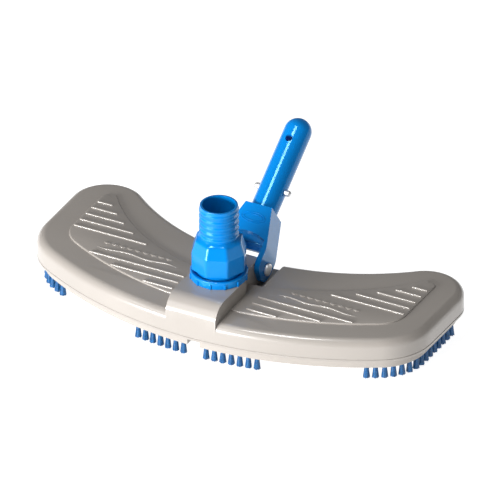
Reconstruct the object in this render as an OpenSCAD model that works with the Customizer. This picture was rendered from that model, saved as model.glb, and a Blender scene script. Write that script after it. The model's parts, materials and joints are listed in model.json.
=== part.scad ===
// Manual pool vacuum head: a crescent-shaped weighted head with bristle tufts,
// a swivelling hose adapter and a tilting pole handle.
// +X is to the right, +Y to the rear (the concave side), +Z up, millimetres.
// The origin is on the floor, under the middle of the whole object.

/* [Head outline] */
// Half of the head's overall length
half_len = 216; // [200:1:240]
// Radius of the convex front edge
front_r = 372; // [340:1:420]
// Distance from the hose axis forward to the front edge
front_reach = 61.5; // [58:0.5:70]
// Corner radius between the front edge and each end
front_corner_r = 59; // [45:1:65]
// Radius of each rounded rear tip
tip_r = 39; // [30:1:42]
// Distance from the hose axis back to the middle of the rear edge
rear_reach = 75.4; // [72:0.2:80]
// Radius of the concave rear edge
rear_r = 239; // [220:1:260]

/* [Heights] */
// Free length of the bristles below the base plate
bristle_len = 12.5; // [10:0.5:16]
// Height of the base plate that shows below the shell
base_h = 10.5; // [8:0.5:14]
// Height of the shell, from its lower edge to the deck
shell_h = 24; // [22:0.5:30]
// Height of the raised centre block above the deck
block_h = 18; // [16:0.5:22]
// Height of the raised grip panels above the deck
panel_h = 1.4; // [0.6:0.1:1.5]

/* [Shell] */
// Wall thickness of the shell
wall = 3; // [2.4:0.1:3.5]
// Radius of the rounded upper edge of the shell
edge_r = 9; // [7:0.5:11]
// Width of the hinge lug
lug_w = 41; // [36:0.5:42]
// Width of the bay that the handle arms swing in
bay_w = 68; // [64:1:76]
// Depth of the hinge bay below the deck
bay_depth = 9; // [8.8:0.1:11]
// Grip ribs: distance between rows
rib_pitch = 12.5; // [10:0.5:15]

/* [Base plate] */
// How far the base plate is set in from the shell's side
base_inset = 7.5; // [6:0.5:9]
// Thickness of the base plate's floor
floor_t = 3; // [2.5:0.1:4]
// Thickness of the solid rim that holds the bristles
rim_t = 7; // [6.5:0.5:9]
// Width of the suction mouth
mouth_w = 76; // [60:1:84]
// Depth of the suction mouth, front to rear
mouth_d = 34; // [24:1:38]
// Width of the notch from the front edge to the mouth
notch_w = 14; // [10:0.5:18]

/* [Bristles] */
// Distance between tufts along the edge
tuft_pitch = 9; // [8:0.1:12]
// Radius of a tuft where it leaves the base plate
tuft_r = 1.9; // [1.5:0.1:2.1]
// Radius of a tuft at its spread tip
tuft_tip_r = 3; // [2.4:0.1:3.4]

/* [Hose adapter] */
// Outer diameter over the hose barbs
barb_d = 39.8; // [38:0.1:42]
// Bore of the adapter
adapter_bore_d = 33; // [28:0.5:34]
// Diameter over the corners of the octagonal grip
grip_d = 57; // [54:0.5:57]
// Length of the barbed spigot
barb_len = 34.8; // [30:0.2:50]
// Outer diameter of the collar
collar_d = 57; // [57:0.1:60]

/* [Handle] */
// Diameter of the handle spigot that fits inside a pole
spigot_d = 28; // [26:0.2:29]
// Length of the handle from the hinge pin to the centre of its round tip
handle_len = 146.4; // [130:0.2:170]
// Tilt of the handle back from upright
handle_tilt = 54; // [40:1:70]
// Distance of the hinge pin behind the hose axis
pin_y = 51; // [50:0.2:56]
// Height of the hinge pin above the deck
pin_up = 4.9; // [4.5:0.1:6]
// Diameter of the hinge pin
pin_d = 8; // [6:0.5:9]
// Thickness of each handle arm
arm_t = 5.5; // [4:0.1:6.5]
// Diameter of the spring buttons
button_d = 6.5; // [6:0.1:8]
// How far the spring buttons stand out
button_out = 6.5; // [5:0.1:7]
// Diameter of the cross hole near the tip
tip_hole_d = 7.5; // [6:0.1:9]

/* [Hidden] */
$fn = 96;

// clearances
slip = 0.3;
fit = 0.05;
cut = 1;

// heights above the floor
base_z = bristle_len;
shell_z = base_z + base_h;
deck_z = shell_z + shell_h;
block_z = deck_z + block_h;
bay_z = deck_z - bay_depth;
floor_z = base_z + floor_t;
pin_z = deck_z + pin_up;

// centres of the arcs that make the outline, for the right-hand half
front_cy = front_r - front_reach;
corner_x = half_len - front_corner_r;
corner_y = front_cy - sqrt(pow(front_r - front_corner_r, 2) - pow(corner_x, 2));
tip_x = half_len - tip_r;
rear_cy = rear_reach + rear_r;
tip_y = rear_cy - sqrt(pow(rear_r + tip_r, 2) - pow(tip_x, 2));
corner_turn = atan2(front_cy - corner_y, corner_x);
tip_turn = atan2(rear_cy - tip_y, -tip_x);
arc_step = 5;
fine_step = 2.5;

// centre block and hinge lug
nose_r = 9.5;
lug_top_end = pin_y - 8;
block_flat_end = -41.5;
block_nose_r = front_reach + block_flat_end;
boss_r = collar_d / 2 - 0.9;
bay_front = 26;
chamber_top = block_z - wall;

// hose swivel, from the block up
spigot_h = 4;
spigot_bore_r = 22;
washer_t = 0.5;
flange_z = block_z + spigot_h + washer_t + fit;
flange_t = 1.4;
collar_top = block_z + 8;
collar_lip_z = flange_z + flange_t + slip;
collar_bore_r = collar_d / 2 - 2;
spigot_r = collar_bore_r - fit;
neck_r = 24.5;
grip_z = collar_top + 3.9;
grip_top = grip_z + 19.3;
grip_neck = grip_top + 12.8;
barb_z = grip_neck + 3;
rim_z = barb_z + barb_len;
skirt_z = block_z - 5;
skirt_r = spigot_bore_r - 0.6;
seal_r = 1.3;
seal_z = block_z + 0.5;
seal_groove_r = spigot_bore_r - 2 * seal_r - 2 * fit;
seal_groove_h = 2 * seal_r + 0.4;
barb_count = 5;
barb_pitch = 6.7;
barb_depth = 0.9;
lug_count = 12;

// handle, in its own frame: the pin at the origin, the spigot along +Z, front at -Y
axis_y = -3.5;
spigot_rad = spigot_d / 2;
arm_in = lug_w / 2 + 0.5;
arm_out = arm_in + arm_t;
yoke_top = 56.6;
yoke_front = axis_y - spigot_rad - 2.6;
yoke_back = pin_up + bay_depth - 0.4;
yoke_wall = 4;
yoke_bend = 14;
yoke_top_x = spigot_rad + 0.6;
lobe_r = yoke_back - 0.5;
toe_r = 11;
arch_top = 27;
arch_r = 43.5;
back_edge = 19;
tube_bore_r = spigot_rad - 3;
tube_bore_end = 118;
tip_hole_z = 133;
button_z = 81;
pin_r = pin_d / 2;
pin_head_r = pin_r + 2.5;
pin_head_t = 3;
clip_t = 1.2;
spring_t = 0.8;
spring_w = 8;
spring_x = tube_bore_r - 1.7;
spring_foot = 48;
spring_foot_x = 4;

// ballast and screws
function front_edge(x) = front_cy - sqrt(pow(front_r, 2) - pow(x, 2));
function rear_edge(x) = rear_cy - sqrt(pow(rear_r, 2) - pow(x, 2));
ballast_inset = 30;
ballast_h = 8;
ballast_from = 78;
ballast_to = half_len - 46;
screw_spots = [[62, front_edge(62) + 23], [62, rear_edge(62) - 26],
    [120, front_edge(120) + 23], [112, rear_edge(112) - 26],
    [half_len - 26, corner_y], [half_len - 26, tip_y]];
screw_r = 1.7;
screw_head_r = 3.8;
screw_head_t = 2.2;
screw_len = 15;
boss_wall_r = 4.5;

// tufts: inset of their line from the outline, and the length inside the rim
tuft_inset = base_inset + 3;
tuft_root = 4.5;
tuft_count_front = 7;
tuft_count_tip = 15;
tuft_count_rear = 8;
tuft_first_x = 12.5;
anchor_size = [2 * tuft_r, 0.5, 1.3];

// the whole object, front to rear, so that the origin is under its middle
handle_end = pin_y + handle_len * sin(handle_tilt) + axis_y * cos(handle_tilt) + spigot_rad;
mid_y = (handle_end - front_reach) / 2;

// ---------------------------------------------------------------- outline

// Points along an arc, from one angle to the other
function arc(c, r, from, to, step) = let(n = max(2, ceil(abs(to - from) / step)))
    [for (i = [0:n]) let(a = from + (to - from) * i / n) c + r * [cos(a), sin(a)]];

// Right-hand half of the crescent, from front middle round to rear middle, set in by d
function half_outline(d, step) = concat(
    arc([0, front_cy], front_r - d, -90, -corner_turn, step),
    arc([corner_x, corner_y], front_corner_r - d, -corner_turn + step, 0, step),
    arc([tip_x, tip_y], tip_r - d, 0, tip_turn - step, step),
    arc([0, rear_cy], rear_r + d, tip_turn - 180, -90, step));
function mirrored(p) = [for (i = [len(p) - 2:-1:1]) [-p[i][0], p[i][1]]];
function crescent_points(d, step) = concat(half_outline(d, step), mirrored(half_outline(d, step)));

// Crescent as a flat shape, set in from the outline by d
module crescent(d = 0) {
    polygon(crescent_points(d, fine_step));
}

// What a round corner takes away: the wedge between two directions, outside the circle
module corner_cut(c, r, from, to) {
    far = 3 * r + 20;
    mid = (from + to) / 2;
    translate(c) difference() {
        polygon([[0, 0], far * [cos(from), sin(from)], 1.6 * far * [cos(mid), sin(mid)],
            far * [cos(to), sin(to)]]);
        circle(r);
    }
}

// Crescent with a rounded upper edge, as rings of outline points
module rounded_crescent(z0, z1, r) {
    steps = 4;
    rings = concat([[0, z0]],
        [for (i = [0:steps]) let(a = 90 * i / steps) [r * (1 - cos(a)), z1 - r * (1 - sin(a))]]);
    n = len(crescent_points(0, arc_step));
    points = [for (k = rings) for (p = crescent_points(k[0], arc_step)) [p[0], p[1], k[1]]];
    last = len(rings) - 1;
    sides = [for (k = [0:last - 1]) for (i = [0:n - 1]) let(j = (i + 1) % n)
        [k * n + i, (k + 1) * n + i, (k + 1) * n + j, k * n + j]];
    polyhedron(points, concat(sides, [[for (i = [0:n - 1]) i]],
        [[for (i = [n - 1:-1:0]) last * n + i]]));
}

module block_prism(x, y0, y1, z0, z1) {
    translate([-x, y0, z0]) cube([2 * x, y1 - y0, z1 - z0]);
}

// A profile drawn in the Y-Z plane, extruded evenly to both sides of X = 0
module across(width) {
    rotate([90, 0, 90]) translate([0, 0, -width / 2]) linear_extrude(width) children();
}

// ---------------------------------------------------------------- shell

module top_shell() color([0.55, 0.53, 0.49]) {
    difference() {
        union() {
            difference() {
                rounded_crescent(shell_z, deck_z, edge_r);
                bay();
            }
            centre_block();
            hinge_lug();
            for (s = [0, 1]) mirror([s, 0, 0]) {
                grip_panel();
                grip_ribs();
            }
            translate([0, 0, block_z - cut]) cylinder(h = spigot_h + cut, r = spigot_r);
        }
        difference() {
            shell_cavity();
            block_prism(bay_w / 2 + wall, bay_front - wall, 2 * tip_y, bay_z - wall, block_z);
        }
        translate([0, 0, shell_z]) cylinder(h = block_z + spigot_h, r = spigot_bore_r);
        translate([-lug_w, pin_y, pin_z]) rotate([0, 90, 0]) cylinder(h = 2 * lug_w, r = pin_r + fit);
    }
    screw_bosses();
}

// Posts that stand on the base plate and take the screws
module screw_bosses() {
    for (p = screw_spots, s = [-1, 1]) translate([s * p[0], p[1], floor_z]) difference() {
        cylinder(h = deck_z - wall + 1 - floor_z, r = boss_wall_r, $fn = 32);
        translate([0, 0, -cut]) cylinder(h = screw_len + cut, r = screw_r + fit, $fn = 32);
    }
}

// Hollow for the ballast, stepped in under the rounded edge, with the water chamber above it
module shell_cavity() {
    translate([0, 0, shell_z - cut]) linear_extrude(deck_z - edge_r - shell_z + cut) crescent(wall);
    translate([0, 0, shell_z]) linear_extrude(deck_z - wall - shell_z) crescent(2 * wall);
    block_prism(boss_r - wall, block_flat_end, 0, deck_z - 2 * wall, chamber_top);
    translate([0, 0, deck_z - 2 * wall]) cylinder(h = chamber_top - deck_z + 2 * wall, r = boss_r - wall);
}

module bay() {
    block_prism(bay_w / 2, bay_front, 2 * tip_y, bay_z, deck_z + cut);
}

// Its front face follows the curve of the shell's front
module centre_block() {
    nose_z = block_z - block_nose_r;
    intersection() {
        across(2 * boss_r) {
            translate([-front_reach, shell_z]) square([front_reach, nose_z - shell_z]);
            translate([block_flat_end, shell_z]) square([-block_flat_end, block_z - shell_z]);
            translate([block_flat_end, nose_z]) circle(block_nose_r);
        }
        translate([0, front_cy, shell_z]) cylinder(h = block_z - shell_z, r = front_r);
    }
    translate([0, 0, bay_z - wall]) cylinder(h = block_z - bay_z + wall, r = boss_r);
}

module hinge_lug() {
    across(lug_w) {
        polygon([[0, bay_z - cut], [0, block_z], [lug_top_end, block_z],
            [pin_y + nose_r * cos(40), pin_z + nose_r * sin(40)],
            [pin_y + nose_r, pin_z], [pin_y + nose_r, bay_z - cut]]);
        translate([pin_y, pin_z]) circle(nose_r);
    }
}

// Raised non-slip panel that covers most of each wing
module grip_panel() {
    side = half_len - 30;
    translate([0, 0, deck_z - cut]) linear_extrude(panel_h + cut) difference() {
        intersection() {
            translate([0, front_cy]) circle(front_r - 32);
            translate([boss_r - cut, -front_reach]) square([side - boss_r + cut, front_reach + tip_y + 10]);
        }
        translate([0, panel_hollow_y]) circle(panel_hollow_r);
        corner_cut([side - 32, corner_y + 4.3], 32, -corner_turn, 0);
        corner_cut([side - 6, tip_y + 4], 6, 0, 129);
        translate([0, bay_front - slip]) square([bay_w / 2 + slip, tip_y]);
    }
}

// Rows of straight ribs across the panel; two rows in the middle are left free
panel_hollow_r = 215;
panel_hollow_y = rear_cy - 73.8;
function rib_start(y) = let(k = pow(panel_hollow_r + 8, 2) - pow(panel_hollow_y - y, 2))
    k > pow(boss_r + 13.4, 2) ? sqrt(k) : boss_r + 13.4;
function rib_end(y) = min(half_len - 32, sqrt(pow(front_r - 33.2, 2) - pow(front_cy - y, 2)));
module grip_ribs() {
    rib_t = 1.3;
    first_y = tip_y - 7.4;
    for (i = [0, 1, 2, 3, 4, 7, 8, 9]) {
        y = first_y - i * rib_pitch;
        if (rib_end(y) > rib_start(y) + 5) translate([rib_start(y), y - rib_t / 2, deck_z])
            cube([rib_end(y) - rib_start(y), rib_t, 2 * panel_h]);
    }
}

module screw_holes(r) {
    for (p = screw_spots, s = [-1, 1]) translate([s * p[0], p[1], base_z - cut])
        cylinder(h = screw_len + 2 * cut, r = r, $fn = 32);
}

// ---------------------------------------------------------------- base

module base_plate() color([0.78, 0.76, 0.72]) {
    flange_z0 = shell_z + slip;
    difference() {
        union() {
            translate([0, 0, base_z]) linear_extrude(shell_z + wall - base_z) crescent(base_inset);
            translate([0, 0, flange_z0]) linear_extrude(wall - slip) crescent(wall + slip);
        }
        translate([0, 0, floor_z]) linear_extrude(deck_z) crescent(base_inset + rim_t);
        suction_mouth();
        screw_holes(screw_r + 0.5);
        for (p = screw_spots, s = [-1, 1]) translate([s * p[0], p[1], base_z - cut])
            cylinder(h = screw_head_t + cut - slip, r = screw_head_r + 0.4, $fn = 32);
        for (t = all_tufts()) translate([t[0], t[1], base_z - cut])
            cylinder(h = tuft_root + 1.5 + cut, r = tuft_r + fit, $fn = 24);
    }
}

// Opening under the hose, with a notch that runs forward through the front rim
module suction_mouth() {
    end_r = mouth_d / 2;
    translate([0, 0, base_z - cut]) linear_extrude(floor_t + 2 * cut) {
        square([mouth_w - mouth_d, mouth_d], center = true);
        for (s = [-1, 1]) translate([s * (mouth_w - mouth_d) / 2, 0]) circle(end_r);
    }
    block_prism(notch_w / 2, -front_reach, 0, base_z - cut, shell_z - 3);
}

// Cast ballast plate that lies in one wing, inside the screws
module ballast() color([0.25, 0.25, 0.26]) {
    translate([0, 0, floor_z]) linear_extrude(ballast_h) intersection() {
        crescent(ballast_inset);
        translate([ballast_from, -front_reach]) square([ballast_to - ballast_from, 3 * front_reach]);
    }
}

module ballast_left() mirror([1, 0, 0]) ballast();
module ballast_right() ballast();

module base_screws() color([0.75, 0.76, 0.78]) {
    for (p = screw_spots, s = [-1, 1]) translate([s * p[0], p[1], base_z]) {
        difference() {
            cylinder(h = screw_head_t - slip, r = screw_head_r, $fn = 32);
            translate([-0.5, -screw_head_r, -cut]) cube([1, 2 * screw_head_r, cut + 0.8]);
        }
        cylinder(h = screw_len, r = screw_r, $fn = 32);
    }
}

// ---------------------------------------------------------------- bristles

tuft_r_front = front_r - tuft_inset;
tuft_r_rear = rear_r + tuft_inset;

// Front row of the right wing: even steps along the front arc
front_tufts = [for (i = [0:tuft_count_front - 1])
    let(a = asin(tuft_first_x / tuft_r_front) + i * tuft_pitch * 180 / (PI * tuft_r_front))
    [tuft_r_front * sin(a), front_cy - tuft_r_front * cos(a)]];

// Length of the corner arc on the tuft line, between the front arc and the straight end
corner_len = (front_corner_r - tuft_inset) * corner_turn * PI / 180;
end_len = tip_y - corner_y;
tip_lead = 14;

// A place on the tuft line around the end, s millimetres after the front arc
function tip_place(s) =
    s < 0 ? let(a = corner_turn - 90 - s * 180 / (PI * tuft_r_front))
        [tuft_r_front * sin(-a), front_cy - tuft_r_front * cos(a)]
    : s < corner_len ? let(a = -corner_turn + s * 180 / (PI * (front_corner_r - tuft_inset)))
        [corner_x, corner_y] + (front_corner_r - tuft_inset) * [cos(a), sin(a)]
    : s < corner_len + end_len ? [half_len - tuft_inset, corner_y + s - corner_len]
    : let(a = (s - corner_len - end_len) * 180 / (PI * (tip_r - tuft_inset)))
        [tip_x, tip_y] + (tip_r - tuft_inset) * [cos(a), sin(a)];
tip_tufts = [for (i = [0:tuft_count_tip - 1]) tip_place(i * tuft_pitch - tip_lead)];

// Rear row of the right wing, beside the hinge bay
rear_first = bay_w / 2 + 16;
rear_tufts = [for (i = [0:tuft_count_rear - 1])
    let(a = asin(rear_first / tuft_r_rear) + i * tuft_pitch * 180 / (PI * tuft_r_rear))
    [tuft_r_rear * sin(a), rear_cy - tuft_r_rear * cos(a)]];

function both_sides(p) = concat(p, [for (t = p) [-t[0], t[1]]]);
function all_tufts() = both_sides(concat(front_tufts, tip_tufts, rear_tufts));

module tufts(places) color([0.05, 0.42, 0.85]) {
    for (t = places) translate([t[0], t[1], 0]) {
        cylinder(h = base_z, r1 = tuft_tip_r, r2 = tuft_r, $fn = 24);
        translate([0, 0, base_z]) cylinder(h = tuft_root, r = tuft_r, $fn = 24);
    }
}

module bristles_front_right() tufts(front_tufts);
module bristles_front_left() mirror([1, 0, 0]) tufts(front_tufts);
module bristles_tip_right() tufts(tip_tufts);
module bristles_tip_left() mirror([1, 0, 0]) tufts(tip_tufts);
module bristles_rear_right() tufts(rear_tufts);
module bristles_rear_left() mirror([1, 0, 0]) tufts(rear_tufts);

// Flat wire anchors that hold each tuft in its hole
module tuft_anchors() color([0.8, 0.75, 0.5]) {
    for (t = all_tufts()) translate([t[0], t[1], base_z + tuft_root + fit + anchor_size[2] / 2])
        cube(anchor_size, center = true);
}

// ---------------------------------------------------------------- hose swivel

module ring(z0, z1, r_out, r_in) {
    translate([0, 0, z0]) difference() {
        cylinder(h = z1 - z0, r = r_out);
        translate([0, 0, -cut]) cylinder(h = z1 - z0 + 2 * cut, r = r_in);
    }
}

module swivel_collar() color([0.05, 0.5, 0.9]) {
    ring(block_z, collar_lip_z, collar_d / 2, collar_bore_r);
    ring(collar_lip_z, collar_top, collar_d / 2, neck_r + slip);
    for (i = [0:lug_count - 1]) rotate(10 + i * 360 / lug_count)
        translate([collar_d / 2 - 0.6, -1.3, block_z]) cube([1.6, 2.6, 5.5]);
}

module swivel_washer() color([0.92, 0.92, 0.9])
    ring(block_z + spigot_h, block_z + spigot_h + washer_t, spigot_r - slip, spigot_bore_r);

module swivel_seal() color([0.1, 0.1, 0.1])
    translate([0, 0, seal_z]) rotate_extrude()
        translate([spigot_bore_r - fit - seal_r, 0]) circle(seal_r, $fn = 32);

// Adapter: skirt and flange held by the collar, octagonal grip, barbed spigot
module hose_adapter() color([0.05, 0.5, 0.9]) {
    grip_top_r = 24.3;
    barb_r = barb_d / 2;
    difference() {
        union() {
            translate([0, 0, skirt_z]) cylinder(h = flange_z - skirt_z, r = skirt_r);
            translate([0, 0, flange_z]) cylinder(h = flange_t, r = spigot_r - slip);
            translate([0, 0, flange_z]) cylinder(h = grip_z - flange_z, r = neck_r);
            translate([0, 0, grip_z]) cylinder(h = grip_top - grip_z, r = grip_d / 2, $fn = 8);
            translate([0, 0, grip_top]) cylinder(h = grip_neck - grip_top, r1 = grip_d / 2,
                r2 = grip_top_r, $fn = 8);
            translate([0, 0, grip_neck]) cylinder(h = barb_z - grip_neck, r1 = grip_top_r * cos(22.5),
                r2 = barb_r - barb_depth);
            translate([0, 0, grip_neck]) cylinder(h = rim_z - grip_neck, r = barb_r - barb_depth);
            for (i = [0:barb_count - 1]) barb_ring(rim_z - 4.6 - i * barb_pitch, barb_r);
        }
        translate([0, 0, skirt_z - cut]) cylinder(h = rim_z - skirt_z + 2 * cut, r = adapter_bore_d / 2);
        translate([0, 0, seal_z - seal_groove_h / 2]) ring(0, seal_groove_h, skirt_r + cut, seal_groove_r);
    }
}

// One barb: a sloped lead-in above, a short land and a sloped back below
module barb_ring(z, r) {
    translate([0, 0, z]) rotate_extrude() polygon([[r - 3, -4.4], [r - barb_depth, -4.4], [r, -1.4],
        [r, 0], [r - barb_depth, 1.6], [r - 3, 1.6]]);
}

// ---------------------------------------------------------------- handle

// Places a piece drawn in the handle's frame where the tilted handle is
module in_handle() {
    translate([0, pin_y, pin_z]) rotate([-handle_tilt, 0, 0]) children();
}

module handle() color([0.05, 0.45, 0.85]) in_handle() difference() {
    union() {
        yoke();
        translate([0, axis_y, arch_top]) cylinder(h = handle_len - arch_top, r = spigot_rad);
        translate([0, axis_y, handle_len]) sphere(spigot_rad);
    }
    yoke_channel();
    translate([0, axis_y, 0]) cylinder(h = tube_bore_end, r = tube_bore_r);
    translate([-arm_out - cut, 0, 0]) rotate([0, 90, 0]) cylinder(h = 2 * (arm_out + cut), r = pin_r + fit);
    translate([-spigot_d, axis_y, button_z]) rotate([0, 90, 0])
        cylinder(h = 2 * spigot_d, r = button_d / 2 + 0.1);
    translate([0, axis_y + spigot_d, tip_hole_z]) rotate([90, 0, 0]) cylinder(h = 2 * spigot_d, r = tip_hole_d / 2);
}

// Outside of the yoke: the front view narrows to the spigot, the side view has a round foot
module yoke() {
    intersection() {
        rotate([90, 0, 0]) translate([0, 0, -2 * spigot_d]) linear_extrude(4 * spigot_d)
            polygon([[-arm_out, -lobe_r - cut], [-arm_out, yoke_bend], [-yoke_top_x, yoke_top],
                [yoke_top_x, yoke_top], [arm_out, yoke_bend], [arm_out, -lobe_r - cut]]);
        across(2 * arm_out + 2 * cut) {
            translate([yoke_front, 0]) square([yoke_back - yoke_front, yoke_top]);
            translate([yoke_front + toe_r, 0]) circle(toe_r);
            circle(lobe_r);
            translate([yoke_front + toe_r, -toe_r]) square([-yoke_front - toe_r, toe_r]);
        }
    }
}

// Space between the arms, arched at the top; the back wall reaches lower than the front
module yoke_channel() {
    back_y = yoke_back - yoke_wall;
    low = 2 * lobe_r;
    intersection() {
        translate([-arm_in, yoke_front - cut, -low]) cube([2 * arm_in, back_y - yoke_front + cut, low + arch_top]);
        translate([0, back_y + cut, arch_top - arch_r]) rotate([90, 0, 0])
            cylinder(h = back_y - yoke_front + 4 * cut, r = arch_r);
    }
    translate([-arm_in, back_y - cut, -low]) cube([2 * arm_in, yoke_wall + 2 * cut, low + back_edge]);
}

module hinge_pin() color([0.85, 0.86, 0.88]) in_handle() rotate([0, 90, 0]) {
    tail = arm_out + 3 * clip_t;
    difference() {
        translate([0, 0, -tail]) cylinder(h = tail + arm_out + fit, r = pin_r);
        translate([0, 0, -arm_out - clip_t - 2 * fit]) ring(0, clip_t + fit, pin_r + cut, pin_r - 0.8);
    }
    translate([0, 0, arm_out + fit]) cylinder(h = pin_head_t, r = pin_head_r);
}

// Retaining clip snapped into the groove at the pin's left end
module pin_clip() color([0.6, 0.61, 0.63]) in_handle() rotate([0, 90, 0])
    translate([0, 0, -arm_out - clip_t - fit]) difference() {
        cylinder(h = clip_t, r = pin_r + 2.5);
        translate([0, 0, -cut]) cylinder(h = clip_t + 2 * cut, r = pin_r - 0.8 + fit);
        translate([0, -pin_r + 1, -cut]) cube([2 * pin_r, 2 * pin_r - 2, clip_t + 2 * cut]);
    }

// V-shaped leaf spring in the spigot, which pushes both buttons out
module button_spring() color([0.8, 0.81, 0.83]) in_handle() {
    top = button_z + 5;
    knee = button_z - 8;
    in_x = spring_x - spring_t;
    foot_in = spring_foot_x - spring_t;
    heel = spring_foot - spring_foot_x;
    translate([0, axis_y + spring_w / 2, 0]) rotate([90, 0, 0]) linear_extrude(spring_w)
        polygon([[-spring_x, top], [-spring_x, knee], [-spring_foot_x, spring_foot],
            [-spring_foot_x / 2, heel], [spring_foot_x / 2, heel], [spring_foot_x, spring_foot],
            [spring_x, knee], [spring_x, top], [in_x, top], [in_x, knee], [foot_in, spring_foot],
            [foot_in / 2, heel + spring_t], [-foot_in / 2, heel + spring_t], [-foot_in, spring_foot],
            [-in_x, knee], [-in_x, top]]);
}

module button() color([0.9, 0.91, 0.92]) in_handle() translate([0, axis_y, button_z]) rotate([0, 90, 0]) {
    dome = button_d / 2;
    translate([0, 0, spring_x + fit]) cylinder(h = spigot_rad + button_out - dome - spring_x - fit, r = dome);
    translate([0, 0, spigot_rad + button_out - dome]) sphere(dome);
}

module button_right() button();
module button_left() mirror([1, 0, 0]) button();

// ---------------------------------------------------------------- assembly

translate([0, -mid_y, 0]) {
    top_shell();
    base_plate();
    ballast_left();
    ballast_right();
    base_screws();
    tuft_anchors();
    bristles_front_left();
    bristles_front_right();
    bristles_tip_left();
    bristles_tip_right();
    bristles_rear_left();
    bristles_rear_right();
    swivel_collar();
    swivel_washer();
    swivel_seal();
    hose_adapter();
    handle();
    hinge_pin();
    pin_clip();
    button_spring();
    button_left();
    button_right();
}
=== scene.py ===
# %% [markdown]
# # A pool vacuum head
#
# The head is a wide grey crescent that slides over a pool floor on blue bristle tufts. A blue hose
# adapter turns in a ring on its raised centre block, and a blue pole handle tilts in a bay behind it.
#
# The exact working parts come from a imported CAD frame. Blender adds what a moulder would
# notice: soft edges, raised grip panels, real filaments in the tufts, and the gloss of the plastic.
# We load the frame first, because every place and every moving body below is read from it.

# %% Load the frame
import json
import math

import bmesh
import bpy
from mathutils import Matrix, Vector


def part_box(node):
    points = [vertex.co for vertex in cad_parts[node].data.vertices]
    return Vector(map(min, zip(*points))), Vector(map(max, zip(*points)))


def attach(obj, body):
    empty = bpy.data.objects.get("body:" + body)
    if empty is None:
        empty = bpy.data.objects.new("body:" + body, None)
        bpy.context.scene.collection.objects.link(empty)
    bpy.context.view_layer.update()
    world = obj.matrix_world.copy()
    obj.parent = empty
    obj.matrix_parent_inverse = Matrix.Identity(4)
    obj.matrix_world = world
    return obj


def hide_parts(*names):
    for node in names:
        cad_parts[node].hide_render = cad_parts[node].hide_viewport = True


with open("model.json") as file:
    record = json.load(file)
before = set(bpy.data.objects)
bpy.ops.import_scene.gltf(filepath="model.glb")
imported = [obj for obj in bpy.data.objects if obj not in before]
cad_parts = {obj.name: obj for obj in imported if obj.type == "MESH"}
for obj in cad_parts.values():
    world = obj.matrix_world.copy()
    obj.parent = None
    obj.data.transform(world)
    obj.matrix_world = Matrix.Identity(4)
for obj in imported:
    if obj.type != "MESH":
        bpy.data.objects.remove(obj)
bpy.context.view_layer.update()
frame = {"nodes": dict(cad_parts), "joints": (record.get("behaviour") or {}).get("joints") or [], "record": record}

# %% [markdown]
# ## Landmarks
#
# Makers think of this object in millimetres from the hose axis, so the drawing values below are in
# millimetres too. One function turns such a point into Blender's metres. The landmarks that other
# pieces depend on, such as the hose axis and the hinge pin, are read from the frame.

# %% Read the landmarks
MM = 0.001
PLATE_EDGE = 10.5
low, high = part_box("hose_adapter")
HOSE_Y = (low.y + high.y) / 2
PLATE_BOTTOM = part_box("base_plate")[0].z / MM
SHELL_BOTTOM = PLATE_BOTTOM + PLATE_EDGE
joints = {j["name"]: j for j in frame["joints"]}
PIN = Vector(joints["handle_pivot"]["pos_m"])
mounts = {m["name"]: m for m in frame["record"]["mounts"]}
HANDLE_UP = Vector(mounts["pole_spigot"]["axis"]).normalized()
HANDLE_FRONT = Vector((1, 0, 0)).cross(HANDLE_UP).normalized()


def head_point(x, y, z):
    """A point in millimetres from the hose axis and the floor, as Blender metres."""
    return Vector((x * MM, y * MM + HOSE_Y, z * MM))


def handle_point(x, front, up):
    """A point by the handle's own directions: across, to its front, and along it from the pin."""
    return PIN + (Vector((x, 0, 0)) + HANDLE_FRONT * front + HANDLE_UP * up) * MM


print("hose axis at y =", round(HOSE_Y, 5), " pin at", [round(v, 4) for v in PIN])
print("handle runs along", [round(v, 3) for v in HANDLE_UP],
      "front", [round(v, 3) for v in HANDLE_FRONT])

# %% [markdown]
# ## Small modelling helpers
#
# Nearly every piece here is either a stack of matching rings (a loft), a profile spun round an axis
# (a lathe), or a flat outline pushed along a direction (an extrusion). Three short helpers cover them.

# %% Helpers: mesh from rings, profile and outline


def new_object(name, points, faces):
    """A mesh object from ready points and faces, with its face directions made consistent."""
    mesh = bpy.data.meshes.new(name)
    mesh.from_pydata([tuple(p) for p in points], [], faces)
    work = bmesh.new()
    work.from_mesh(mesh)
    bmesh.ops.recalc_face_normals(work, faces=work.faces)
    work.to_mesh(mesh)
    work.free()
    obj = bpy.data.objects.new(name, mesh)
    bpy.context.scene.collection.objects.link(obj)
    return obj


def loft(name, rings, closed=False):
    """Skin over rings with equal numbers of points. closed joins the last ring to the first."""
    n = len(rings[0])
    points = [p for ring in rings for p in ring]
    faces = []
    for k in range(len(rings) if closed else len(rings) - 1):
        a, b = k * n, (k + 1) % len(rings) * n
        faces += [(a + i, a + (i + 1) % n, b + (i + 1) % n, b + i) for i in range(n)]
    if not closed:
        faces += [tuple(range(n))[::-1], tuple(range((len(rings) - 1) * n, len(rings) * n))]
    return new_object(name, points, faces)


def lathe(name, profile, place, segments=96, closed=False):
    """Spins (radius, height) pairs round an axis; place makes a point of across, depth, height."""
    turns = [2 * math.pi * i / segments for i in range(segments)]
    rings = [[place(r * math.cos(a), r * math.sin(a), z) for a in turns] for r, z in profile]
    return loft(name, rings, closed)


def extrude(name, outline, place, start, end):
    """Pushes a flat outline between two depths; place takes its two values and the depth."""
    return loft(name, [[place(u, v, depth) for u, v in outline] for depth in (start, end)])


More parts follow.
